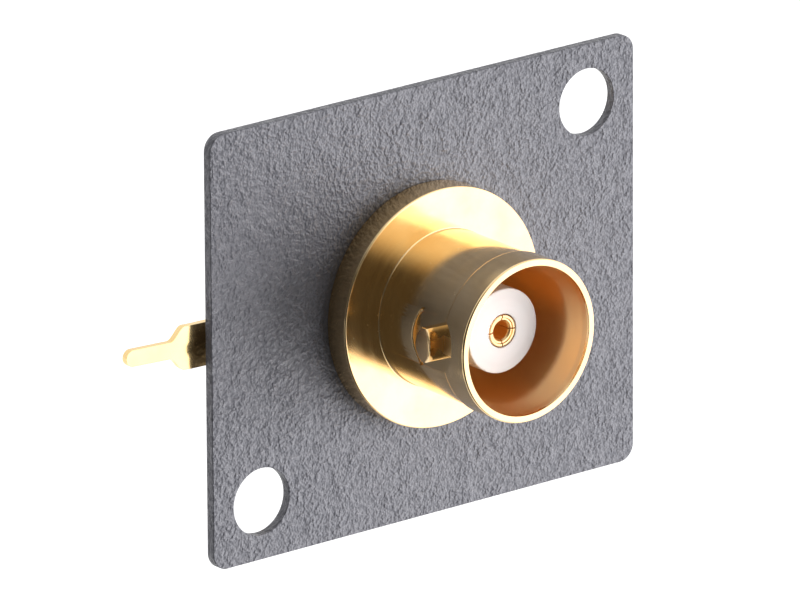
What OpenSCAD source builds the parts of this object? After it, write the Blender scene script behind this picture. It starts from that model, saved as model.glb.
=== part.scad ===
// Panel-mount BNC jack on a D-size plate.
// Row frame: +X right, +Z up, the mouth faces -Y. The origin is on the connector's axis, in the
// plane of the plate's back face. Turned pieces are drawn along +Z, back to mouth, and then tipped
// over by facing(), so inside it "z" is the distance forward of the plate's back face.

/* [Plate] */
// Width of the plate
plate_w = 31; // [29:0.5:36]
// Height of the plate
plate_h = 26; // [25:0.5:32]
// Thickness of the plate with its coating
plate_t = 0.6; // [0.4:0.1:2]
// Radius of the plate's corners
plate_corner_r = 1; // [0.5:0.1:2]
// Screw spacing across the plate
screw_spacing_x = 24; // [23:0.5:26]
// Screw spacing up the plate
screw_spacing_z = 19; // [18.5:0.5:21]
// Diameter of a screw hole
screw_hole_d = 4; // [3:0.1:4.5]

/* [Body] */
// Diameter of the flange that clamps the plate
flange_d = 14.3; // [13:0.1:16]
// Thickness of the flange
flange_t = 1.6; // [1.2:0.1:3]
// Bevel on the flange's front edge
flange_bevel = 0.12; // [0.05:0.01:0.3]
// Distance from the flange's front to the mouth
shell_l = 7.8; // [7.5:0.1:10]
// Diameter of the shell between flange and collar
shell_d = 9.34; // [9.1:0.02:9.4]
// Diameter of the collar at the mouth
collar_d = 9.65; // [9.6:0.05:9.7]
// Length of the collar
collar_l = 1.95; // [1.5:0.05:2.1]
// Bore of the shell
shell_bore_d = 8.12; // [8:0.02:8.2]
// Depth of the shell's bore behind the mouth
shell_bore_depth = 8.4; // [8:0.1:8.6]
// Diameter where the lead-in meets the mouth
lead_in_d = 8.84; // [8.6:0.02:9.2]
// Depth of the lead-in
lead_in_l = 0.3; // [0.2:0.05:1.2]
// Rounding of the mouth's outer edge
mouth_r = 0.1; // [0.04:0.01:0.12]

/* [Bayonet studs] */
// Distance across the two studs
across_studs = 11; // [10.8:0.05:11.1]
// Size of a stud round the shell
stud_w = 2; // [1.8:0.05:2.1]
// Size of a stud along the axis
stud_l = 1.28; // [1.1:0.02:1.8]
// Distance from the mouth back to a stud's centre
stud_setback = 2.85; // [2.6:0.05:3.2]
// Angle of the studs above the horizontal
stud_turn = 2; // [0:0.5:10]
// Radius of the cutter that clears a stud's rear side
relief_r = 3; // [2.5:0.1:3.5]
// Distance from the mouth back to the rear end of the relief
relief_reach = 4.75; // [4.4:0.05:5]
// Radius of the cutter, centred on the stud, that clears its front side and bites into the collar
relief_front_r = 1.8; // [1.6:0.05:1.9]
// Distance of the relief's flat floor from the axis
relief_floor = 4.37; // [4.3:0.01:4.5]

/* [Barrel] */
// Outer diameter of the threaded barrel
barrel_d = 9.525; // [9.4:0.005:9.6]
// Length of the barrel behind the flange
barrel_l = 10; // [8:0.5:12]
// Distance of the barrel's flat from the axis
flat_offset = 4.2; // [4.1:0.05:4.5]
// Bore of the barrel, which holds the insulators
barrel_bore_d = 7; // [6.4:0.1:7.2]
// Opening left by the lip rolled over the rear insulator
lip_d = 6.4; // [5.8:0.1:6.6]
// Thickness of that lip
lip_t = 0.35; // [0.25:0.05:0.5]
// Thickness of the web between shell bore and barrel bore
web_t = 2; // [1:0.1:2.5]

/* [Insulators] */
// Diameter of the white post
post_d = 5; // [4.6:0.05:5.1]
// Depth of the post's front face behind the mouth
post_setback = 2.38; // [2:0.02:3]
// Thickness of the front dielectric's head
head_t = 2; // [1:0.1:3]
// Height of the rear insulator's nose behind the lip
nose_l = 0.3; // [0.1:0.1:1]

/* [Centre contact] */
// Outer diameter of the contact
contact_d = 1.88; // [1.7:0.02:2.1]
// Bore of the socket
socket_d = 1.08; // [0.9:0.02:1.3]
// Depth of the socket
socket_depth = 5.5; // [5:0.1:6.5]
// Width of a slot between the spring fingers
slot_w = 0.08; // [0.05:0.01:0.25]
// Length of the slots
slot_l = 4.5; // [3:0.1:5]
// Number of spring fingers
finger_count = 4; // [2:2:6]
// Diameter of the collar trapped between the insulators
contact_collar_d = 3; // [2.4:0.1:4]
// Thickness of that collar
contact_collar_t = 0.8; // [0.5:0.1:1.2]
// Length of the solder cup behind the rear insulator
cup_l = 3; // [2:0.1:4]
// Bore of the solder cup
cup_d = 1.2; // [0.8:0.05:1.3]
// Length of the window cut in the solder cup
cup_window_l = 1.8; // [1:0.1:2.5]

/* [Washer, tag and nut] */
// Outer diameter of the lock washer
washer_d = 12.6; // [12:0.1:14]
// Width of the washer's plain outer ring
washer_ring_w = 0.75; // [0.6:0.05:0.9]
// Thickness of the flattened lock washer
washer_t = 0.45; // [0.3:0.05:0.8]
// Number of the washer's teeth
tooth_count = 12; // [8:1:14]
// Gap between two teeth
tooth_gap = 0.9; // [0.5:0.1:1.2]
// Outer diameter of the tag's ring
tag_ring_d = 12.7; // [12:0.1:14]
// Thickness of the tag
tag_t = 0.4; // [0.2:0.05:0.6]
// Width of the tag's strip
tag_w = 2.6; // [2:0.1:3.5]
// Distance from the axis to the middle of the tag's shoulders
tag_shoulder_x = 17.1; // [16.5:0.1:20]
// Length of the tag's shoulders
tag_shoulder_l = 1; // [0.6:0.1:1.6]
// Width of the tag's tongue
tongue_w = 1; // [0.8:0.1:1.6]
// Distance from the axis to the tongue's tip
tag_reach = 20.6; // [20:0.1:24]
// Angle of the tag above the horizontal
tag_turn = 1.5; // [0:0.5:10]
// Distance from the axis to the tag's bend
tag_bend_x = 15.9; // [15:0.1:16.4]
// Angle by which the tag's end is bent back
tag_bend = 3; // [0:0.5:12]
// Width of the nut across its flats
nut_af = 12.7; // [12:0.1:14]
// Thickness of the nut
nut_t = 2.4; // [2:0.1:4]
// Bevel of the nut's corners, in degrees
nut_bevel = 30; // [20:5:35]

/* [Fits] */
// Radial gap between pieces that slide into one another
slip = 0.03; // [0.02:0.01:0.08]
// Radial gap between the barrel and the holes it passes through
barrel_gap = 0.075; // [0.05:0.005:0.12]
// Radial gap round the contact's spring fingers
finger_gap = 0.12; // [0.08:0.01:0.2]

/* [Hidden] */
$fn = 96;
over = 1;                                     // overrun of a cutter past the piece it cuts
root = 0.2;                                   // depth a stud is rooted below the relief's floor
relief_runout = 0.05;                         // depth the relief runs into the collar's back
barrel_bevel = 0.4;                           // bevel on the barrel's rear end
nut_land = 0.15;                              // how far the nut's round face stays inside its flats

flange_front = plate_t + flange_t;
mouth = flange_front + shell_l;
collar_back = mouth - collar_l;
bore_floor = mouth - shell_bore_depth;
web_back = bore_floor - web_t;
barrel_back = plate_t - barrel_l;
lip_front = barrel_back + lip_t;
post_front = mouth - post_setback;
head_back = web_back - head_t;
nose_back = barrel_back - nose_l;
cup_back = nose_back - cup_l;
washer_back = -washer_t;
tag_back = washer_back - tag_t;
nut_back = tag_back - nut_t;
stud_at = mouth - stud_setback;
tag_past = tag_reach - tag_bend_x + over;
tag_drop = tag_past * tan(tag_bend);

// Turns a piece drawn with its axis along +Z so that it faces -Y, and its own +Y points up.
module facing() {
    rotate([90, 0, 0]) children();
}

// A plain disc or plug of diameter d between two heights.
module disc(d, from, to) {
    translate([0, 0, from]) cylinder(d = d, h = to - from);
}

// The barrel's section with its flat at the bottom, grown by gap all round.
module flatted(d, flat, gap, from, to) {
    difference() {
        disc(d + 2 * gap, from, to);
        translate([-d, -flat - gap - d, from - over]) cube([2 * d, d, to - from + 2 * over]);
    }
}

module plate_outline() {
    x = plate_w / 2 - plate_corner_r;
    y = plate_h / 2 - plate_corner_r;
    square([plate_w, 2 * y], center = true);
    square([2 * x, plate_h], center = true);
    for (sx = [-1, 1], sy = [-1, 1]) translate([sx * x, sy * y]) circle(r = plate_corner_r);
}

module panel_plate() {
    color("dimgray") facing() difference() {
        linear_extrude(plate_t) plate_outline();
        flatted(barrel_d, flat_offset, barrel_gap, -over, plate_t + over);
        for (s = [-1, 1]) translate([s * screw_spacing_x / 2, s * screw_spacing_z / 2, -over])
            cylinder(d = screw_hole_d, h = plate_t + 2 * over);
    }
}

// Half section of the body: radius against height, walked from the barrel's inside round the mouth.
module body_section() {
    mouth_edge = [for (a = [0 : 15 : 90])
        [collar_d / 2 - mouth_r + mouth_r * cos(a), mouth - mouth_r + mouth_r * sin(a)]];
    polygon(concat(
        [[lip_d / 2, barrel_back],
         [barrel_d / 2 - barrel_bevel, barrel_back],
         [barrel_d / 2, barrel_back + barrel_bevel],
         [barrel_d / 2, plate_t],
         [flange_d / 2, plate_t],
         [flange_d / 2, flange_front - flange_bevel],
         [flange_d / 2 - flange_bevel, flange_front],
         [shell_d / 2, flange_front],
         [shell_d / 2, collar_back],
         [collar_d / 2, collar_back]],
        mouth_edge,
        [[lead_in_d / 2, mouth],
         [shell_bore_d / 2, mouth - lead_in_l],
         [shell_bore_d / 2, bore_floor],
         [post_d / 2 + slip, bore_floor],
         [post_d / 2 + slip, web_back],
         [barrel_bore_d / 2, web_back],
         [barrel_bore_d / 2, lip_front],
         [lip_d / 2, lip_front]]));
}

// A stud standing on the +X side of the shell: two arcs that would meet just past its trimmed
// ends, with its top turned to the same circle as its opposite number's.
module stud() {
    past_end = 0.15;                              // how far beyond a trimmed end the arcs would meet
    half_chord = stud_w / 2 + past_end;
    arc_r = (pow(half_chord, 2) + pow(stud_l / 2, 2)) / stud_l;
    intersection() {
        disc(across_studs, bore_floor, mouth);
        translate([relief_floor - root, 0, stud_at]) rotate([0, 90, 0])
            intersection() {
                cylinder(d = stud_w, h = across_studs);
                translate([arc_r - stud_l / 2, 0, 0]) cylinder(r = arc_r, h = across_studs);
                translate([stud_l / 2 - arc_r, 0, 0]) cylinder(r = arc_r, h = across_studs);
            }
    }
}

// The cut that clears a stud, on one flat floor: wide round its rear side, where it just runs out
// into the back of the collar, and closer round its front side, where it bites into the collar.
module stud_relief() {
    translate([relief_floor, 0, stud_at]) rotate([0, 90, 0])
        cylinder(r = relief_front_r, h = collar_d / 2);
    intersection() {
        translate([relief_floor, 0, mouth - relief_reach + relief_r]) rotate([0, 90, 0])
            cylinder(r = relief_r, h = collar_d / 2);
        translate([0, -relief_r, 0]) cube([collar_d, 2 * relief_r, collar_back + relief_runout]);
    }
}

module connector_body() {
    color("gold") facing() {
        difference() {
            rotate_extrude() body_section();
            for (a = [0, 180]) rotate([0, 0, a - stud_turn]) stud_relief();
            translate([-barrel_d, -flat_offset - barrel_d, barrel_back - over])
                cube([2 * barrel_d, barrel_d, barrel_l + over]);
        }
        for (a = [0, 180]) rotate([0, 0, a - stud_turn]) stud();
    }
}

module front_dielectric() {
    recess_d = contact_d + 2 * finger_gap;
    color("white") facing() difference() {
        union() {
            disc(post_d, web_back, post_front);
            disc(barrel_bore_d - 2 * slip, head_back, web_back);
        }
        disc(contact_d + 2 * slip, head_back - over, post_front + over);
        disc(recess_d, post_front - slot_l, post_front + over);
    }
}

module rear_insulator() {
    color("white") facing() difference() {
        union() {
            disc(barrel_bore_d - 2 * slip, lip_front, head_back);
            disc(lip_d - 2 * slip, nose_back, lip_front);
        }
        disc(contact_d + 2 * slip, nose_back - over, head_back + over);
        disc(contact_collar_d + 2 * slip, head_back - contact_collar_t, head_back + over);
    }
}

module contact_section() {
    r = contact_d / 2;
    bore = socket_d / 2;
    bell = 0.16;                                  // bell mouth of the socket
    nose = 0.06;                                  // bevel round the tip of the fingers
    polygon([
        [0, cup_back + cup_l],
        [cup_d / 2, cup_back + cup_l],
        [cup_d / 2, cup_back],
        [r, cup_back],
        [r, head_back - contact_collar_t],
        [contact_collar_d / 2, head_back - contact_collar_t],
        [contact_collar_d / 2, head_back],
        [r, head_back],
        [r, post_front - nose],
        [r - nose, post_front],
        [bore + bell, post_front],
        [bore, post_front - bell],
        [bore, post_front - socket_depth],
        [0, post_front - socket_depth - bore]]);
}

module centre_contact() {
    color("gold") facing() difference() {
        rotate_extrude() contact_section();
        for (i = [0 : finger_count / 2 - 1]) rotate([0, 0, i * 360 / finger_count])
            translate([-contact_d, -slot_w / 2, post_front - slot_l])
                cube([2 * contact_d, slot_w, slot_l + over]);
        translate([-contact_d, 0, cup_back - over])
            cube([2 * contact_d, contact_d, cup_window_l + over]);
    }
}

module lock_washer() {
    tooth_root_d = washer_d - 2 * washer_ring_w;
    tooth_l = tooth_root_d / 2 - barrel_d / 2;
    color("gold") facing() difference() {
        disc(washer_d, washer_back, 0);
        disc(barrel_d + 2 * barrel_gap, washer_back - over, over);
        for (i = [0 : tooth_count - 1]) rotate([0, 0, (i + 0.5) * 360 / tooth_count])
            translate([barrel_d / 2 - over, -tooth_gap / 2, washer_back - over])
                cube([tooth_l + over, tooth_gap, washer_t + 2 * over]);
    }
}

// The tag's outline seen from the front, pointing along -X: ring, strip, shoulders and round tip.
module tag_outline() {
    steps = 10;
    tip_r = tongue_w / 2;
    shoulder = [for (i = [0 : steps])
        [-tag_shoulder_x + tag_shoulder_l * (0.5 - i / steps),
         tongue_w / 2 + (tag_w - tongue_w) / 4 * (1 + cos(180 * i / steps))]];
    tip = [for (a = [90 : 15 : 270]) [-tag_reach + tip_r + tip_r * cos(a), tip_r * sin(a)]];
    lower = [for (i = [steps : -1 : 0]) [shoulder[i][0], -shoulder[i][1]]];
    polygon(concat([[0, tag_w / 2]], shoulder, tip, lower, [[0, -tag_w / 2]]));
}

// The tag's side view: flat against the washer, then bent back past the plate's edge.
module tag_side() {
    polygon([[tag_ring_d, 0], [-tag_bend_x, 0], [-tag_bend_x - tag_past, -tag_drop],
             [-tag_bend_x - tag_past, -tag_drop - tag_t], [-tag_bend_x, -tag_t],
             [tag_ring_d, -tag_t]]);
}

module ground_tag() {
    color("gold") facing() rotate([0, 0, -tag_turn]) difference() {
        union() {
            intersection() {
                translate([0, 0, tag_back - tag_drop - over])
                    linear_extrude(tag_t + tag_drop + 2 * over) tag_outline();
                translate([0, tag_w, washer_back]) rotate([90, 0, 0])
                    linear_extrude(2 * tag_w) tag_side();
            }
            disc(tag_ring_d, tag_back, washer_back);
        }
        disc(barrel_d + 2 * barrel_gap, tag_back - over, washer_back + over);
    }
}

module hex_nut() {
    corner_d = nut_af / cos(30);
    face_r = nut_af / 2 - nut_land;
    bevel_h = (corner_d / 2 - face_r) * tan(nut_bevel);
    color("gold") facing() difference() {
        intersection() {
            translate([0, 0, nut_back]) cylinder(d = corner_d, h = nut_t, $fn = 6);
            rotate_extrude() polygon([
                [0, nut_back], [face_r, nut_back], [corner_d / 2, nut_back + bevel_h],
                [corner_d / 2, tag_back - bevel_h], [face_r, tag_back], [0, tag_back]]);
        }
        disc(barrel_d + 2 * slip, nut_back - over, tag_back + over);
    }
}

panel_plate();
connector_body();
front_dielectric();
centre_contact();
rear_insulator();
lock_washer();
ground_tag();
hex_nut();
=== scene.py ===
import math

import bpy
from mathutils import Matrix, Vector


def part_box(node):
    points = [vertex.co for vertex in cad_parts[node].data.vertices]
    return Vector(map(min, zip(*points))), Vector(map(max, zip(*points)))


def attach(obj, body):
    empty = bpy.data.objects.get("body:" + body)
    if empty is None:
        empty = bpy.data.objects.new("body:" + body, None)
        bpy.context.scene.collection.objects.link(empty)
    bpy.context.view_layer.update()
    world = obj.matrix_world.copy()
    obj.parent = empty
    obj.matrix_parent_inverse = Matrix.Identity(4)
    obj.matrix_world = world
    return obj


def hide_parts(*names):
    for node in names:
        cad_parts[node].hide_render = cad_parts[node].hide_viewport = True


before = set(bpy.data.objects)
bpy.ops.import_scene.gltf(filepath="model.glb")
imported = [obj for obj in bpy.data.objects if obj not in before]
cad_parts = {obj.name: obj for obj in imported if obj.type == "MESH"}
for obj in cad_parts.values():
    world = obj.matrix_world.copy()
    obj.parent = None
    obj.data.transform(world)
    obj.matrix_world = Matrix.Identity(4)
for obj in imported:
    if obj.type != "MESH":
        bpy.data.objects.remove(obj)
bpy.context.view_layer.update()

mm = 0.001

# ---------------------------------------------------------------------------------------------
# Sizes of the jack in millimetres. "z" runs forward from the plate's back face, so y = -z.
# ---------------------------------------------------------------------------------------------
plate_low, plate_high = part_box("panel_plate")
plate_t = (plate_high[1] - plate_low[1]) / mm
body_low, body_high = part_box("connector_body")
mouth = -body_low[1] / mm
barrel_back = -body_high[1] / mm
flange_r = body_high[0] / mm

plate_corner_r = 1.0
plate_edge = 0.14
screw_x, screw_z = 12.0, 9.5
screw_hole_r = 2.0

flange_front = plate_t + 1.6
shell_r = 4.67
collar_r = 4.825
collar_back = mouth - 1.95
lead_in_r = 4.42
lead_in_back = mouth - 0.5
lead_in_draft = 0.05
taper_back = mouth - 1.7
rim_margin, face_margin = 0.015, 0.008
bore_r = 4.06
bore_floor = mouth - 8.4
web_back = bore_floor - 2.0

barrel_r = 4.7625
barrel_bore_r = 3.5
barrel_joint = plate_t + 0.2
barrel_bevel = 0.42
lip_r = 3.2
lip_front = barrel_back + 0.35
lip_bevel = 0.04
flat_offset = 4.2
thread_pitch = 25.4 / 32
thread_depth = 0.43
thread_start = barrel_back + 0.45
thread_land = 0.12                  # share of half a pitch that is flat at crest and root
thread_run_in, thread_run_out = 0.3, 0.6
thread_steps = 12

stud_w = 2.0
stud_l = 1.28
stud_flat = 0.15                    # how far past its flats the lens would come to a point
stud_top_r = 5.5
stud_at = mouth - 2.85
stud_turn = math.radians(2)
stud_root = 0.2
stud_blank_h = 1.6
stud_rim = 0.05
stud_hold = 0.2                     # depth of the loop that keeps the stud's sides straight
stud_arc_r = ((stud_w / 2 + stud_flat) ** 2 + (stud_l / 2) ** 2) / stud_l
relief_r = 3.0
relief_at = mouth - 4.75 + relief_r
relief_front_r = 1.8
relief_floor = 4.37
relief_runout = 0.05
relief_rim = 0.12

post_r = 2.5
post_front = mouth - 2.38
head_back = web_back - 2.0
nose_back = barrel_back - 0.3

contact_r = 0.94
contact_collar_r = 1.5
contact_collar_back = head_back - 0.8
socket_r = 0.54
socket_depth = 5.5
socket_dish = 0.18
face_step_out, face_step_in, face_step_h = 0.78, 0.65, 0.07
face_step_run = 0.04
slot_w, slot_l = 0.08, 4.5
cup_r = 0.6
cup_back = nose_back - 3.0
cup_depth = 3.0
cup_window_l = 1.8
socket_point, cup_point = 0.3, 0.2  # depth of the drill's point in each
core_r = 0.02                       # the pinhole that the spun outline leaves on the axis

washer_t = 0.45
washer_r = 6.3
washer_ring_r = 5.55
tooth_count = 12
tooth_gap = 0.9
tooth_cut_from = 3.5                # a gap's cutter starts well inside the washer's hole

tag_t = 0.4
tag_back = -washer_t - tag_t
tag_ring_r = 6.35
tag_root_x = 5.4
tag_half_w, tongue_half_w = 1.3, 0.5
tag_bend_x = 15.9
tag_bend = math.radians(3)
tag_bend_run = 0.3
tag_shoulder_x, tag_shoulder_l = 17.1, 1.0
tag_reach = 20.6
tag_turn = math.radians(1.5)
tag_edge = 0.06

nut_t = 2.4
nut_back = tag_back - nut_t
nut_apothem = 6.35
nut_land = 0.15
nut_bevel = math.radians(30)
nut_flare, nut_flare_in, nut_flare_out = 0.5, 0.2, 0.3
nut_edge = 0.05

slip = 0.03                         # clearance of a bush in its bore
barrel_gap = 0.075                  # clearance round the barrel in plate, washer and tag
finger_gap = 0.06                   # clearance round the contact's fingers
hole_r = barrel_r + barrel_gap
over = 1.0                          # overrun of a cutter past the piece that it cuts
clear = 8.0                         # half size of a cutter that clears the whole barrel
fine_merge = 0.0005                 # doubles this near are merged on drawn and cut pieces
near = 0.01                         # a point this near to an outline is on it

# ---------------------------------------------------------------------------------------------
# Bench tools
# ---------------------------------------------------------------------------------------------
def clear_selection():
    if bpy.context.object and bpy.context.object.mode != "OBJECT":
        bpy.ops.object.mode_set(mode="OBJECT")
    bpy.ops.object.select_all(action="DESELECT")


def take(piece):
    """Select this piece alone and make it the active one."""
    clear_selection()
    piece.select_set(True)
    bpy.context.view_layer.objects.active = piece


def named(name):
    piece = bpy.context.object
    piece.name = name
    piece.data.name = name
    return piece


def pick_edges(piece, wanted):
    """Back in edit mode with only the edges selected whose two ends pass."""
    bpy.ops.object.mode_set(mode="EDIT")
    bpy.ops.mesh.select_mode(type="EDGE")
    bpy.ops.mesh.select_all(action="DESELECT")
    bpy.ops.object.mode_set(mode="OBJECT")
    points = piece.data.vertices
    for edge in piece.data.edges:
        a, b = (points[i].co / mm for i in edge.vertices)
        edge.select = wanted(a, b)
    bpy.ops.object.mode_set(mode="EDIT")


def tidy_mesh(piece, merge=0.002):
    """Merge doubles and turn every face outwards."""
    take(piece)
    bpy.ops.object.mode_set(mode="EDIT")
    bpy.ops.mesh.select_all(action="SELECT")
    bpy.ops.mesh.remove_doubles(threshold=merge * mm)
    bpy.ops.mesh.normals_make_consistent(inside=False)
    bpy.ops.object.mode_set(mode="OBJECT")


def smooth(piece, degrees=28):
    """Smooth shading in which the broad faces keep their own direction beside a small bevel."""
    take(piece)
    bpy.ops.object.shade_smooth_by_angle(angle=math.radians(degrees))
    weigh = piece.modifiers.new("weighted_normals", "WEIGHTED_NORMAL")
    weigh.mode = "FACE_AREA"
    weigh.weight = 100
    weigh.keep_sharp = True
    bpy.ops.object.modifier_apply(modifier=weigh.name)


def bevel_where(piece, wanted, width, segments=3):
    """A small bevel on the picked edges alone."""
    take(piece)
    pick_edges(piece, wanted)
    bpy.ops.mesh.bevel(offset=width * mm, segments=segments, affect="EDGES")
    bpy.ops.object.mode_set(mode="OBJECT")


def split(piece, at, towards, keep_front=False):
    """Cut a loop round a piece with a flat plane, or keep only what lies on one side of it."""
    take(piece)
    bpy.ops.object.mode_set(mode="EDIT")
    bpy.ops.mesh.select_all(action="SELECT")
    bpy.ops.mesh.bisect(plane_co=Vector(at) * mm, plane_no=towards,
                        use_fill=keep_front, clear_inner=keep_front)
    bpy.ops.object.mode_set(mode="OBJECT")


def ease_edges(piece, width, segments=2):
    """Break every sharp edge of a piece with a small bevel."""
    take(piece)
    bevel = piece.modifiers.new("broken_edges", "BEVEL")
    bevel.width = width * mm
    bevel.segments = segments
    bevel.limit_method = "ANGLE"
    bevel.angle_limit = math.radians(30)
    bevel.use_clamp_overlap = True
    bpy.ops.object.modifier_apply(modifier=bevel.name)


def machine(piece, tool, how="DIFFERENCE"):
    """Cut a piece with a tool, or add the tool to it, and throw the tool away."""
    take(piece)
    step = piece.modifiers.new(how.lower(), "BOOLEAN")
    step.operation = how
    step.solver = "EXACT"
    step.object = tool
    bpy.ops.object.modifier_apply(modifier=step.name)
    take(tool)
    bpy.ops.object.delete()


def point_chain(name, points):
    """A chain of edges through points in millimetres, drawn by extruding one vertex on."""
    clear_selection()
    bpy.ops.mesh.primitive_plane_add(size=mm)
    piece = named(name)
    bpy.ops.object.mode_set(mode="EDIT")
    bpy.ops.mesh.select_mode(type="VERT")
    bpy.ops.mesh.select_all(action="SELECT")
    bpy.ops.mesh.merge(type="CENTER")
    bpy.ops.transform.translate(value=Vector(points[0]) * mm)
    for here, there in zip(points, points[1:]):
        step = (Vector(there) - Vector(here)) * mm
        bpy.ops.mesh.extrude_vertices_move(TRANSFORM_OT_translate={"value": step})
    return piece


def turned(name, outline, around=240):
    """A turned piece: an outline of (radius, z) spun round the axis."""
    piece = point_chain(name, [(r, -z, 0) for r, z in outline])
    bpy.ops.mesh.select_all(action="SELECT")
    bpy.ops.mesh.spin(steps=around, angle=2 * math.pi, center=(0, 0, 0), axis=(0, 1, 0))
    bpy.ops.object.mode_set(mode="OBJECT")
    tidy_mesh(piece)
    return piece


def drawn_plate(name, outline, back, front):
    """A flat piece: a closed outline of (x, height) given its thickness from z back to z front."""
    piece = point_chain(name, [(x, -back, h) for x, h in outline])
    bpy.ops.mesh.select_all(action="SELECT")
    bpy.ops.mesh.edge_face_add()
    bpy.ops.mesh.extrude_region_move(
        TRANSFORM_OT_translate={"value": (0, (back - front) * mm, 0)})
    bpy.ops.object.mode_set(mode="OBJECT")
    tidy_mesh(piece, fine_merge)
    return piece


def drill(name, radius, back, front, at=(0, 0), around=160):
    """A round cutter along the axis direction."""
    clear_selection()
    bpy.ops.mesh.primitive_cylinder_add(
        vertices=around, radius=radius * mm, depth=(front - back) * mm,
        location=(at[0] * mm, -(front + back) / 2 * mm, at[1] * mm),
        rotation=(math.pi / 2, 0, 0))
    piece = named(name)
    bpy.ops.object.transform_apply(location=True, rotation=True, scale=True)
    return piece


def block(name, low, high):
    """A square cutter between two corners in millimetres."""
    clear_selection()
    centre = [(a + b) / 2 * mm for a, b in zip(low, high)]
    bpy.ops.mesh.primitive_cube_add(size=1, location=centre)
    piece = named(name)
    piece.scale = [abs(b - a) * mm for a, b in zip(low, high)]
    bpy.ops.object.transform_apply(location=True, rotation=True, scale=True)
    return piece


def arc(centre, radius, start, stop, steps):
    """Points on an arc, angles in degrees."""
    return [(centre[0] + radius * math.cos(math.radians(start + (stop - start) * i / steps)),
             centre[1] + radius * math.sin(math.radians(start + (stop - start) * i / steps)))
            for i in range(steps + 1)]


def turn_about_axis(piece, angle):
    """Turn a piece about the jack's axis; a positive angle lifts the side at +X."""
    take(piece)
    piece.matrix_world = Matrix.Rotation(-angle, 4, "Y") @ piece.matrix_world
    bpy.ops.object.transform_apply(location=True, rotation=True, scale=True)


# ---------------------------------------------------------------------------------------------
# Finishes
# ---------------------------------------------------------------------------------------------
def group(name, inputs, outputs):
    """An empty node group with float inputs and named outputs."""
    tree = bpy.data.node_groups.new(name, "ShaderNodeTree")
    for label, value in inputs:
        socket = tree.interface.new_socket(label, in_out="INPUT", socket_type="NodeSocketFloat")
        socket.default_value = value
    for label, kind in outputs:
        tree.interface.new_socket(label, in_out="OUTPUT", socket_type=kind)
    entry = tree.nodes.new("NodeGroupInput")
    leave = tree.nodes.new("NodeGroupOutput")
    return tree, entry, leave


def node(tree, kind, **settings):
    made = tree.nodes.new(kind)
    for key, value in settings.items():
        setattr(made, key, value)
    return made


def maths(tree, operation, a, b=None):
    made = node(tree, "ShaderNodeMath", operation=operation)
    for socket, value in zip(made.inputs, (a, b)):
        if value is None:
            continue
        if isinstance(value, (int, float)):
            socket.default_value = value
        else:
            tree.links.new(value, socket)
    return made.outputs[0]


def noise(tree, place, scale, detail, distortion=0.0):
    """Noise over a place; its scale is per metre."""
    made = node(tree, "ShaderNodeTexNoise")
    made.inputs["Detail"].default_value = detail
    made.inputs["Distortion"].default_value = distortion
    tree.links.new(place, made.inputs["Vector"])
    if isinstance(scale, (int, float)):
        made.inputs["Scale"].default_value = scale
    else:
        tree.links.new(scale, made.inputs["Scale"])
    return made.outputs["Fac"]


def from_axis(tree):
    """The place on the piece in three numbers, and its distance from the jack's axis."""
    place = node(tree, "ShaderNodeTexCoord")
    apart = node(tree, "ShaderNodeSeparateXYZ")
    tree.links.new(place.outputs["Object"], apart.inputs[0])
    across = maths(tree, "MULTIPLY", apart.outputs["X"], apart.outputs["X"])
    upward = maths(tree, "MULTIPLY", apart.outputs["Z"], apart.outputs["Z"])
    return apart.outputs, maths(tree, "SQRT", maths(tree, "ADD", across, upward))


def turning_marks():
    """Fine rings left by the lathe: noise that changes only with radius and depth."""
    tree, entry, leave = group(
        "turning_marks", [("Rings per mm", 9.0)],
        [("Height", "NodeSocketFloat"), ("Bands", "NodeSocketFloat")])
    place, radius = from_axis(tree)
    joined = node(tree, "ShaderNodeCombineXYZ")
    tree.links.new(radius, joined.inputs["X"])
    tree.links.new(place["Y"], joined.inputs["Y"])
    tree.links.new(maths(tree, "MULTIPLY", place["X"], 0.015), joined.inputs["Z"])
    scale = maths(tree, "MULTIPLY", entry.outputs[0], 1000.0)
    fine = noise(tree, joined.outputs[0], scale, 3)
    broad = noise(tree, joined.outputs[0], maths(tree, "MULTIPLY", scale, 0.2), 1)
    tree.links.new(fine, leave.inputs["Height"])
    tree.links.new(broad, leave.inputs["Bands"])
    return tree


def shell_inside():
    """1 inside the shell's bore and its lead-in, 0 everywhere else: where the gold is rougher and
    painted with bounce light.
    """
    tree, entry, leave = group("shell_inside", [], [("Inside", "NodeSocketFloat")])
    place, radius = from_axis(tree)
    within = maths(tree, "LESS_THAN", radius, (lead_in_r - rim_margin) * mm)
    behind = maths(tree, "GREATER_THAN", place["Y"], (face_margin - mouth) * mm)
    tree.links.new(maths(tree, "MULTIPLY", within, behind), leave.inputs["Inside"])
    return tree


def plating_wear():
    """Cloudy shade of a thin plating, and the specks and pinholes in it."""
    tree, entry, leave = group(
        "plating_wear", [("Cloud size mm", 2.5), ("Speck size mm", 0.35)],
        [("Clouds", "NodeSocketFloat"), ("Specks", "NodeSocketFloat"),
         ("Height", "NodeSocketFloat")])
    place = node(tree, "ShaderNodeTexCoord").outputs["Object"]
    clouds = noise(tree, place, maths(tree, "DIVIDE", 1000.0, entry.outputs[0]), 4)
    speck = node(tree, "ShaderNodeTexVoronoi")
    tree.links.new(place, speck.inputs["Vector"])
    tree.links.new(maths(tree, "DIVIDE", 1000.0, entry.outputs[1]), speck.inputs["Scale"])
    specks = remap(tree, speck.outputs["Distance"], 0.04, 0.13, 1.0, 0.0, "SMOOTHSTEP")
    tree.links.new(clouds, leave.inputs["Clouds"])
    tree.links.new(specks, leave.inputs["Specks"])
    tree.links.new(noise(tree, place, 900.0, 2), leave.inputs["Height"])
    return tree


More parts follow.
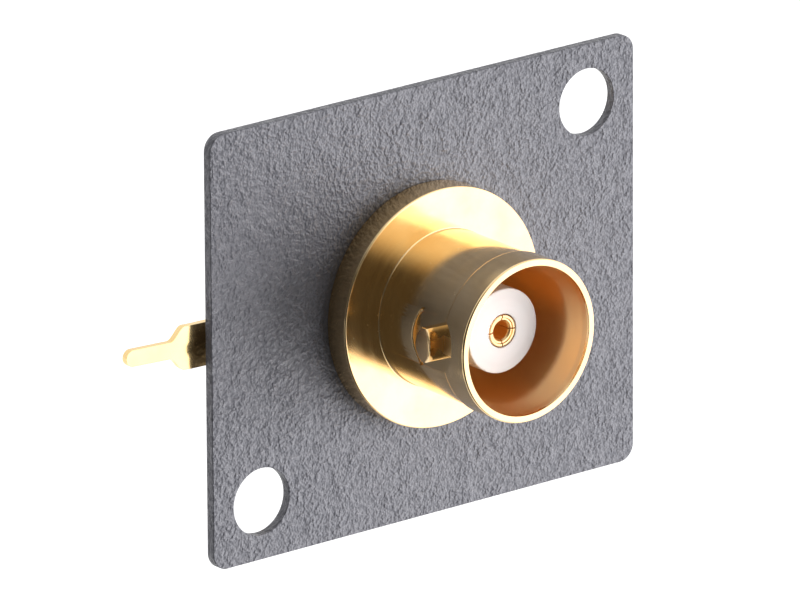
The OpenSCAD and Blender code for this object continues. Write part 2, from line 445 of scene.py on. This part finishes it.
def blend_colour(tree, amount, first, second):
    mix = node(tree, "ShaderNodeMix", data_type="RGBA")
    tree.links.new(amount, mix.inputs["Factor"])
    for socket, value in ((mix.inputs["A"], first), (mix.inputs["B"], second)):
        if isinstance(value, tuple):
            socket.default_value = (*value, 1)
        else:
            tree.links.new(value, socket)
    return mix.outputs["Result"]


def remap(tree, value, low, high, out_low, out_high, kind="LINEAR"):
    made = node(tree, "ShaderNodeMapRange", interpolation_type=kind)
    made.inputs["From Min"].default_value = low
    made.inputs["From Max"].default_value = high
    made.inputs["To Min"].default_value = out_low
    made.inputs["To Max"].default_value = out_high
    tree.links.new(value, made.inputs["Value"])
    return made.outputs["Result"]


def new_finish(name):
    finish = bpy.data.materials.new(name)
    finish.use_nodes = True
    tree = finish.node_tree
    return finish, tree, tree.nodes["Principled BSDF"]


def bump(tree, height, strength, distance_mm, before=None):
    made = node(tree, "ShaderNodeBump")
    made.inputs["Strength"].default_value = strength
    made.inputs["Distance"].default_value = distance_mm * mm
    tree.links.new(height, made.inputs["Height"])
    if before is not None:
        tree.links.new(before, made.inputs["Normal"])
    return made.outputs["Normal"]


def cavity_glow(tree, shader, tint):
    """Light that has bounced many times inside a gold cavity, in place of the bounces cut off."""
    path = node(tree, "ShaderNodeLightPath")
    deep = maths(tree, "GREATER_THAN", path.outputs["Glossy Depth"], 3.5)
    tree.links.new(blend_colour(tree, deep, (0, 0, 0), tint), shader.inputs["Emission Color"])
    shader.inputs["Emission Strength"].default_value = 1.0


def gold_plating(name, pale, deep, rough, rings, ring_depth, ripple_depth, inside_group=None):
    """Bright gold plating over turned or stamped brass, duller in the shell's bore and painted a
    deeper orange there for the light that bounces between its gold walls.
    """
    finish, tree, shader = new_finish(name)
    marks = node(tree, "ShaderNodeGroup", node_tree=marks_group)
    marks.inputs["Rings per mm"].default_value = rings
    wear = node(tree, "ShaderNodeGroup", node_tree=wear_group)
    clouds = remap(tree, wear.outputs["Clouds"], 0.35, 0.65, 0.0, 1.0)
    colour = blend_colour(tree, clouds, pale, deep)
    bands = remap(tree, marks.outputs["Bands"], 0.3, 0.7, rough * 0.8, rough * 1.25)
    sheen = maths(tree, "ADD", bands, maths(tree, "MULTIPLY", wear.outputs["Specks"], 0.12))
    if inside_group:
        inside = node(tree, "ShaderNodeGroup", node_tree=inside_group).outputs["Inside"]
        # Painted bounce light: inside the bore the gold turns a deeper orange, standing in for
        # light bouncing many times between the gold walls.
        colour = blend_colour(tree, inside, colour, (1.0, 0.7, 0.37))
        sheen = maths(tree, "ADD", sheen, maths(tree, "MULTIPLY", inside, 0.2))
    tree.links.new(colour, shader.inputs["Base Color"])
    shader.inputs["Metallic"].default_value = 1.0
    tree.links.new(sheen, shader.inputs["Roughness"])
    turned_normal = bump(tree, marks.outputs["Height"], 0.25, ring_depth)
    tree.links.new(bump(tree, wear.outputs["Height"], 0.25, ripple_depth, turned_normal),
                   shader.inputs["Normal"])
    cavity_glow(tree, shader, (0.22, 0.2, 0.2))
    return finish


def wrinkle_coat():
    """Slate powder coat with a fine hammered relief, in patches, and small glints."""
    finish, tree, shader = new_finish("wrinkle_coat")
    place = node(tree, "ShaderNodeTexCoord").outputs["Object"]
    grain = noise(tree, place, 3700.0, 1, 0.1)
    crumbs = noise(tree, place, 7000.0, 0)
    broad = noise(tree, place, 140.0, 1)
    patches = remap(tree, noise(tree, place, 1100.0, 0), 0.35, 0.65, 0.6, 1.1)
    colour = blend_colour(tree, remap(tree, grain, 0.35, 0.65, 0.0, 1.0),
                          (0.13, 0.131, 0.152), (0.178, 0.177, 0.202))
    tone = blend_colour(tree, remap(tree, broad, 0.3, 0.7, 0.0, 0.25),
                        colour, (0.19, 0.188, 0.212))
    tree.links.new(tone, shader.inputs["Base Color"])
    tree.links.new(remap(tree, grain, 0.35, 0.68, 0.52, 0.24), shader.inputs["Roughness"])
    height = maths(tree, "ADD", maths(tree, "MULTIPLY", grain, patches),
                   maths(tree, "MULTIPLY", crumbs, 0.3))
    tree.links.new(bump(tree, height, 1.0, 0.155), shader.inputs["Normal"])
    return finish


def ptfe():
    """Waxy white fluoropolymer with faint tool rings."""
    finish, tree, shader = new_finish("ptfe")
    marks = node(tree, "ShaderNodeGroup", node_tree=marks_group)
    marks.inputs["Rings per mm"].default_value = 6.0
    colour = blend_colour(tree, remap(tree, marks.outputs["Bands"], 0.3, 0.7, 0.0, 1.0),
                          (0.83, 0.775, 0.765), (0.89, 0.84, 0.83))
    tree.links.new(colour, shader.inputs["Base Color"])
    shader.inputs["Roughness"].default_value = 0.42
    shader.inputs["Subsurface Weight"].default_value = 0.25
    shader.inputs["Subsurface Radius"].default_value = (0.9, 0.8, 0.8)
    shader.inputs["Subsurface Scale"].default_value = 0.6 * mm
    tree.links.new(bump(tree, marks.outputs["Height"], 0.15, 0.02), shader.inputs["Normal"])
    return finish


# ---------------------------------------------------------------------------------------------
# Pieces
# ---------------------------------------------------------------------------------------------
def eased_outline(corners):
    """An outline of (radius, z, rounding) with each corner rounded off.

    A holding point a little beyond each rounding keeps the long faces' shading straight.
    """
    hold = 0.04
    long_side = 0.6
    steps = 4
    points = []
    count = len(corners)
    for i in range(count):
        r, z, ease = corners[i]
        if not ease:
            points.append((r, z))
            continue
        here = Vector((r, z))
        before = Vector(corners[i - 1][:2]) - here
        after = Vector(corners[(i + 1) % count][:2]) - here
        back, on = before.normalized(), after.normalized()
        half = back.angle(on) / 2
        reach = ease / math.tan(half)
        middle = here + (back + on).normalized() * (ease / math.sin(half))
        a = here + back * reach - middle
        b = here + on * reach - middle
        sweep = a.angle_signed(b)
        if before.length > long_side:
            points.append(tuple(here + back * (reach + hold)))
        for k in range(steps + 1):
            turn = -sweep * k / steps
            points.append((middle.x + a.x * math.cos(turn) - a.y * math.sin(turn),
                           middle.y + a.x * math.sin(turn) + a.y * math.cos(turn)))
        if after.length > long_side:
            points.append(tuple(here + on * (reach + hold)))
    return points + [points[0]]


def on_stud_rim(point):
    """Is a point on the outline of the stud's round top?"""
    z = -point.y
    ahead = math.hypot(z - (stud_at - (stud_arc_r - stud_l / 2)), point.z)
    behind = math.hypot(z - (stud_at + (stud_arc_r - stud_l / 2)), point.z)
    on_lens = abs(max(ahead, behind) - stud_arc_r) < near
    on_flat = abs(abs(point.z) - stud_w / 2) < near
    return math.hypot(point.x, point.z) > stud_top_r - near and (on_lens or on_flat)


def stud_blank():
    """The lens-shaped stud on the +X side, rooted in the shell, with its rim broken."""
    lean = math.degrees(math.asin(stud_w / 2 / stud_arc_r))
    off = stud_arc_r - stud_l / 2
    ring = (arc((stud_at - off, 0), stud_arc_r, -lean, lean, 24)
            + arc((stud_at + off, 0), stud_arc_r, 180 - lean, 180 + lean, 24))
    piece = point_chain("stud", [(relief_floor - stud_root, -z, h) for z, h in ring + ring[:1]])
    bpy.ops.mesh.select_all(action="SELECT")
    bpy.ops.mesh.remove_doubles(threshold=fine_merge * mm)
    bpy.ops.mesh.edge_face_add()
    bpy.ops.mesh.extrude_region_move(
        TRANSFORM_OT_translate={"value": (stud_blank_h * mm, 0, 0)})
    tidy_mesh(piece, fine_merge)
    machine(piece, drill("stud_height", stud_top_r, bore_floor, mouth, around=480), "INTERSECT")
    tidy_mesh(piece, fine_merge)
    split(piece, (stud_top_r - stud_hold, 0, 0), (1, 0, 0))
    bevel_where(piece, lambda a, b: on_stud_rim(a) and on_stud_rim(b), stud_rim)
    return piece


def cross_drill(name, radius, at):
    """A round cutter standing on the relief's floor on the +X side."""
    clear_selection()
    bpy.ops.mesh.primitive_cylinder_add(
        vertices=240, radius=radius * mm, depth=2 * over * mm,
        location=((relief_floor + over) * mm, -at * mm, 0), rotation=(0, math.pi / 2, 0))
    piece = named(name)
    bpy.ops.object.transform_apply(location=True, rotation=True, scale=True)
    return piece


def relief_cutters():
    """The two cutters that clear a stud on the +X side: wide behind it, close in front of it."""
    rear = cross_drill("relief_rear", relief_r, relief_at)
    split(rear, (0, -(collar_back + relief_runout), 0), (0, 1, 0), keep_front=True)
    return rear, cross_drill("relief_front", relief_front_r, stud_at)


def on_relief_rim(point):
    """Is a point where the rear of either side's relief breaks through the shell?"""
    x = point.x * math.cos(stud_turn) - point.z * math.sin(stud_turn)
    h = point.z * math.cos(stud_turn) + point.x * math.sin(stud_turn)
    return (abs(math.hypot(x, h) - shell_r) < near
            and abs(math.hypot(-point.y - relief_at, h) - relief_r) < near)


def cut_thread(piece, start, stop):
    """Move the barrel's skin in and out along a helix, fading at both ends."""
    for point in piece.data.vertices:
        x, y, h = point.co / mm
        radius = math.hypot(x, h)
        z = -y
        if abs(radius - barrel_r) > 0.02 or not start <= z <= stop:
            continue
        phase = (z / thread_pitch + math.atan2(h, x) / (2 * math.pi)) % 1.0
        share = (abs(phase - 0.5) * 2 - thread_land) / (1 - 2 * thread_land)
        groove = min(1.0, max(0.0, share))
        fade = min(1.0, (z - start) / thread_run_in, (stop - z) / thread_run_out)
        scale = (radius - thread_depth * groove * fade) / radius
        point.co = (x * scale * mm, y * mm, h * scale * mm)


def threaded_barrel():
    """The barrel behind the flange, with its thread and its flat."""
    rise = thread_pitch / thread_steps
    count = round((barrel_joint - thread_start) / rise)
    skin = [(barrel_r, thread_start + i * rise) for i in range(count)]
    piece = turned("barrel", [
        (lip_r, barrel_back + lip_bevel), (lip_r + lip_bevel, barrel_back),
        (barrel_r - barrel_bevel, barrel_back), *skin, (barrel_r, barrel_joint),
        (barrel_bore_r, barrel_joint), (barrel_bore_r, lip_front), (lip_r, lip_front),
        (lip_r, barrel_back + lip_bevel)], around=192)
    cut_thread(piece, thread_start - near, plate_t)
    machine(piece, block("flat_cutter", (-clear, -2, -clear), (clear, 12, -flat_offset)))
    return piece


def connector_body():
    """Flange, shell, collar and studs, turned and milled in one with the barrel."""
    front = turned("connector_body", eased_outline([
        (flange_r, plate_t, 0.06), (flange_r, flange_front, 0.1),
        (shell_r, flange_front, 0.07), (shell_r, collar_back, 0),
        (collar_r, collar_back, 0.1), (collar_r, mouth, 0.1),
        (lead_in_r, mouth, 0.03), (lead_in_r - lead_in_draft, lead_in_back, 0.3),
        (bore_r, taper_back, 2), (bore_r, bore_floor, 0.08),
        (post_r + slip, bore_floor, 0), (post_r + slip, web_back, 0),
        (barrel_bore_r, web_back, 0), (barrel_bore_r, plate_t, 0)]))
    for side in (0, math.pi):
        for cutter in relief_cutters():
            turn_about_axis(cutter, side - stud_turn)
            machine(front, cutter)
    bevel_where(front, lambda a, b: on_relief_rim(a) and on_relief_rim(b), relief_rim)
    for side in (0, math.pi):
        stud = stud_blank()
        turn_about_axis(stud, side - stud_turn)
        machine(front, stud, "UNION")
    barrel = threaded_barrel()
    take(front)
    barrel.select_set(True)
    bpy.ops.object.join()
    smooth(front)
    return front


def panel_plate():
    """The coated plate with its screw holes and the hole for the barrel, with a flat."""
    inset_x = plate_high[0] / mm - plate_corner_r
    inset_z = plate_high[2] / mm - plate_corner_r
    ring = []
    for sx, sz, start in ((1, 1, 0), (-1, 1, 90), (-1, -1, 180), (1, -1, 270)):
        ring += arc((sx * inset_x, sz * inset_z), plate_corner_r, start, start + 90, 16)
    piece = drawn_plate("panel_plate", ring, 0, plate_t)
    for s in (-1, 1):
        machine(piece, drill("screw_hole", screw_hole_r, -over, 2, (s * screw_x, s * screw_z)))
    hole = drill("barrel_hole", hole_r, -over, 2)
    machine(hole, block("hole_flat", (-clear, -4, -clear), (clear, 4, -flat_offset - barrel_gap)))
    machine(piece, hole)
    tidy_mesh(piece, fine_merge)
    ease_edges(piece, plate_edge, 4)
    smooth(piece, 40)
    return piece


def front_dielectric():
    """The post in the mouth and its head behind the body's web."""
    inner = contact_r + slip
    recess = contact_r + finger_gap
    head = barrel_bore_r - slip
    piece = turned("front_dielectric", eased_outline([
        (inner, head_back, 0), (head, head_back, 0.1), (head, web_back, 0.1),
        (post_r, web_back, 0), (post_r, post_front, 0.07), (recess, post_front, 0.04),
        (recess, post_front - slot_l, 0), (inner, post_front - slot_l, 0)]), 160)
    smooth(piece)
    return piece


def rear_insulator():
    """The bush that fills the barrel and closes its rear end."""
    inner = contact_r + slip
    nose = lip_r - slip
    outer = barrel_bore_r - slip
    pocket = contact_collar_r + slip
    piece = turned("rear_insulator", eased_outline([
        (inner, nose_back, 0.03), (nose, nose_back, 0.08), (nose, lip_front, 0),
        (outer, lip_front, 0.05), (outer, head_back, 0), (pocket, head_back, 0),
        (pocket, contact_collar_back, 0), (inner, contact_collar_back, 0)]), 160)
    smooth(piece)
    return piece


def centre_contact():
    """The socket contact: slotted fingers in front, a collar, and a solder cup behind."""
    socket_floor = post_front - socket_depth
    cup_floor = cup_back + cup_depth
    piece = turned("centre_contact", eased_outline([
        (cup_r, cup_back, 0.04), (contact_r, cup_back, 0.05),
        (contact_r, contact_collar_back, 0), (contact_collar_r, contact_collar_back, 0.05),
        (contact_collar_r, head_back, 0.05), (contact_r, head_back, 0),
        (contact_r, post_front, 0.06), (face_step_out, post_front, 0.02),
        (face_step_out - face_step_run, post_front - face_step_h, 0),
        (face_step_in, post_front - face_step_h, 0.02),
        (socket_r, post_front - socket_dish, 0.05), (socket_r, socket_floor, 0),
        (core_r, socket_floor - socket_point, 0), (core_r, cup_floor + cup_point, 0),
        (cup_r, cup_floor, 0)]), 120)
    for turn in (0, math.pi / 2):
        slot = block("finger_slot", (-2, -post_front - over, -slot_w / 2),
                     (2, -post_front + slot_l, slot_w / 2))
        turn_about_axis(slot, turn)
        machine(piece, slot)
    machine(piece, block("cup_window", (-2, -cup_back - cup_window_l, 0),
                         (2, -cup_back + over, 2)))
    smooth(piece)
    return piece


def lock_washer():
    """The toothed washer: a ring with gaps cut outwards from its hole."""
    piece = turned("lock_washer", eased_outline([
        (hole_r, -washer_t, 0.04), (washer_r, -washer_t, 0.06), (washer_r, 0, 0.06),
        (hole_r, 0, 0.04)]), 192)
    for i in range(tooth_count):
        gap = block("tooth_gap", (tooth_cut_from, -over, -tooth_gap / 2),
                    (washer_ring_r, washer_t + over, tooth_gap / 2))
        turn_about_axis(gap, 2 * math.pi * (i + 0.5) / tooth_count)
        machine(piece, gap)
    smooth(piece)
    return piece


def ground_tag():
    """The solder tag: a ring round the barrel and a strip that narrows to a tongue."""
    narrowing = (tag_half_w - tongue_half_w) / 2
    upper = [(-tag_shoulder_x + tag_shoulder_l * (0.5 - i / 12),
              tongue_half_w + narrowing * (1 + math.cos(math.pi * i / 12))) for i in range(13)]
    end = arc((-tag_reach + tongue_half_w, 0), tongue_half_w, 90, 270, 16)
    lower = [(x, -h) for x, h in reversed(upper)]
    bend = [-tag_bend_x + step for step in (tag_bend_run, 0, -tag_bend_run)]
    strip = drawn_plate(
        "ground_tag",
        [(-tag_root_x, tag_half_w)] + [(x, tag_half_w) for x in bend] + upper + end[1:-1] + lower
        + [(x, -tag_half_w) for x in reversed(bend)] + [(-tag_root_x, -tag_half_w)],
        tag_back, -washer_t)
    machine(strip, drill("tag_ring", tag_ring_r, tag_back, -washer_t, around=192), "UNION")
    machine(strip, drill("tag_hole", hole_r, tag_back - over, over))
    tidy_mesh(strip, fine_merge)
    ease_edges(strip, tag_edge, 3)
    for point in strip.data.vertices:
        past = max(0.0, -point.co.x / mm - tag_bend_x)
        point.co.y += math.tan(tag_bend) * mm * past ** 2 / (past + tag_bend_run)
    turn_about_axis(strip, -tag_turn)
    smooth(strip)
    return strip


def hex_nut():
    """The clamping nut, its corners turned off at both ends and its bore opened at the back."""
    corner = nut_apothem / math.cos(math.pi / 6)
    clear_selection()
    bpy.ops.mesh.primitive_cylinder_add(
        vertices=6, radius=corner * mm, depth=nut_t * mm,
        location=(0, -(tag_back + nut_back) / 2 * mm, 0), rotation=(math.pi / 2, 0, 0))
    piece = named("hex_nut")
    bpy.ops.object.transform_apply(location=True, rotation=True, scale=True)
    turn_about_axis(piece, math.pi / 6)
    face_r = nut_apothem - nut_land
    rise = (corner - face_r) * math.tan(nut_bevel)
    dome = turned("nut_turning", [(0, nut_back), (face_r, nut_back), (corner, nut_back + rise),
                                  (corner, tag_back - rise), (face_r, tag_back), (0, tag_back)],
                  192)
    machine(piece, dome, "INTERSECT")
    bore = turned("nut_bore", [(0, nut_back - over),
                               (barrel_r + nut_flare, nut_back - nut_flare_out),
                               (barrel_r + slip, nut_back + nut_flare_in),
                               (barrel_r + slip, tag_back + over), (0, tag_back + over)], 192)
    machine(piece, bore)
    tidy_mesh(piece, fine_merge)
    ease_edges(piece, nut_edge)
    smooth(piece)
    return piece


# ---------------------------------------------------------------------------------------------
# Assembly
# ---------------------------------------------------------------------------------------------
marks_group = turning_marks()
wear_group = plating_wear()
body_gold = gold_plating("body_gold", pale=(1.0, 0.75, 0.42), deep=(0.97, 0.69, 0.35), rough=0.15,
                         rings=9.0, ring_depth=0.0015, ripple_depth=0.0015,
                         inside_group=shell_inside())
tag_gold = gold_plating("tag_gold", pale=(0.97, 0.72, 0.35), deep=(0.95, 0.67, 0.3), rough=0.16,
                        rings=3.0, ring_depth=0.002, ripple_depth=0.002)
nut_gold = gold_plating("nut_gold", pale=(0.98, 0.77, 0.4), deep=(0.94, 0.69, 0.32), rough=0.12,
                        rings=7.0, ring_depth=0.008, ripple_depth=0.006)
coat = wrinkle_coat()
white = ptfe()

for make, finish, slot in (
        (panel_plate, coat, "plate_coating"), (connector_body, body_gold, "gold_plating"),
        (front_dielectric, white, "ptfe"), (centre_contact, body_gold, "gold_plating"),
        (rear_insulator, white, "ptfe"), (lock_washer, nut_gold, "nut_plating"),
        (ground_tag, tag_gold, "tag_plating"), (hex_nut, nut_gold, "nut_plating")):
    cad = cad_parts[make.__name__]
    cad.data.materials.clear()
    cad.data.materials.append(finish)
    piece = make()
    piece.name = make.__name__ + "_finished"
    piece.data.materials.clear()
    piece.data.materials.append(finish)
    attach(piece, "root")
    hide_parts(make.__name__)

# ---------------------------------------------------------------------------------------------
# Camera
# ---------------------------------------------------------------------------------------------
turn, rise, lean = map(math.radians, (38.7628, 18.5277, -0.2763))
distance = 794.42
backward = Vector((-math.sin(turn) * math.cos(rise), -math.cos(turn) * math.cos(rise),
                   math.sin(rise)))
right = Vector((math.cos(turn), -math.sin(turn), 0))
upward = right.cross(-backward)
aim = Vector((0, -plate_t, 0))
lens_data = bpy.data.cameras.new("camera")
camera = bpy.data.objects.new("camera", lens_data)
bpy.context.scene.collection.objects.link(camera)
frame_axes = Matrix((right * math.cos(lean) + upward * math.sin(lean),
                     upward * math.cos(lean) - right * math.sin(lean), backward)).transposed()
camera.matrix_world = (Matrix.Translation((backward * distance + aim) * mm)
                       @ frame_axes.to_4x4())
lens_data.sensor_width = 36
lens_data.lens = 624.285
lens_data.shift_x = -0.0314
lens_data.shift_y = 0.0009625
lens_data.clip_start = 0.01
lens_data.clip_end = 20
bpy.context.scene.camera = camera


# ---------------------------------------------------------------------------------------------
# Studio
# ---------------------------------------------------------------------------------------------
def lamp(name, place, size, power):
    """A square soft lamp that looks at the jack."""
    light = bpy.data.lights.new(name, "AREA")
    light.shape = "RECTANGLE"
    light.size, light.size_y = size
    light.energy = power
    holder = bpy.data.objects.new(name, light)
    bpy.context.scene.collection.objects.link(holder)
    holder.location = place
    holder.rotation_euler = (-Vector(place)).to_track_quat("-Z", "Y").to_euler()
    return holder


def ramp(tree, value, stops):
    """A soft grey ramp between two stops of (place, level)."""
    made = node(tree, "ShaderNodeValToRGB")
    made.color_ramp.interpolation = "EASE"
    for stop, (place, level) in zip(made.color_ramp.elements, stops):
        stop.position = place
        stop.color = (level, level, level, 1)
    tree.links.new(value, made.inputs["Fac"])
    return made.outputs["Color"]


def facing_share(tree, direction, target):
    """How far a direction points towards a target, from 0 (away) to 1 (straight at it)."""
    dot = node(tree, "ShaderNodeVectorMath", operation="DOT_PRODUCT")
    tree.links.new(direction, dot.inputs[0])
    dot.inputs[1].default_value = Vector(target).normalized()
    return maths(tree, "ADD", maths(tree, "MULTIPLY", dot.outputs["Value"], 0.5), 0.5)


world = bpy.data.worlds.new("studio")
bpy.context.scene.world = world
world.use_nodes = True
tree = world.node_tree
sky = tree.nodes["Background"]
around = node(tree, "ShaderNodeTexCoord").outputs["Generated"]
dark_side = ramp(tree, facing_share(tree, around, (-0.72, -0.62, -0.2)),
                 [(0.58, 1.0), (0.84, 0.06)])
fill = ramp(tree, facing_share(tree, around, (-0.2, -1.0, 0.0)), [(0.4, 0.9), (0.7, 0.14)])
rays = node(tree, "ShaderNodeLightPath")
shared = blend_colour(tree, rays.outputs["Is Diffuse Ray"], dark_side, fill)
tree.links.new(blend_colour(tree, rays.outputs["Is Camera Ray"], shared, (1, 1, 1)),
               sky.inputs["Color"])
sky.inputs["Strength"].default_value = 1.0

# The gold reflects the broad panel. The small lamp only shapes the shadows, so the gold skips it.
lamp("right_panel", (0.41, -0.34, -0.09), (0.9, 0.8), 2.8)
lamp("key", (0.30, -0.26, -0.06), (0.26, 0.26), 1.95).visible_glossy = False


def floor_white():
    """A pale floor that the camera and the metal see as white, and that still takes shadow."""
    finish, tree, shader = new_finish("floor_white")
    shader.inputs["Base Color"].default_value = (0.8, 0.8, 0.8, 1)
    shader.inputs["Roughness"].default_value = 0.7
    path = node(tree, "ShaderNodeLightPath")
    seen = maths(tree, "MAXIMUM", path.outputs["Is Camera Ray"], path.outputs["Is Glossy Ray"])
    tree.links.new(blend_colour(tree, seen, (0, 0, 0), (0.6, 0.6, 0.6)),
                   shader.inputs["Emission Color"])
    shader.inputs["Emission Strength"].default_value = 1.0
    side = node(tree, "ShaderNodeNewGeometry")
    tree.links.new(maths(tree, "SUBTRACT", 1.0, side.outputs["Backfacing"]),
                   shader.inputs["Alpha"])
    return finish


floor_size = 3.0
floor_drop = 0.12                   # how far the floor lies below the jack's axis, in metres
clear_selection()
bpy.ops.mesh.primitive_plane_add(
    size=floor_size, location=(0.6, floor_size / 2 + 0.03, -floor_drop))
floor = named("floor")
bpy.ops.object.transform_apply(location=True, rotation=True, scale=True)
floor.data.materials.append(floor_white())

bpy.context.scene.view_settings.view_transform = "Standard"
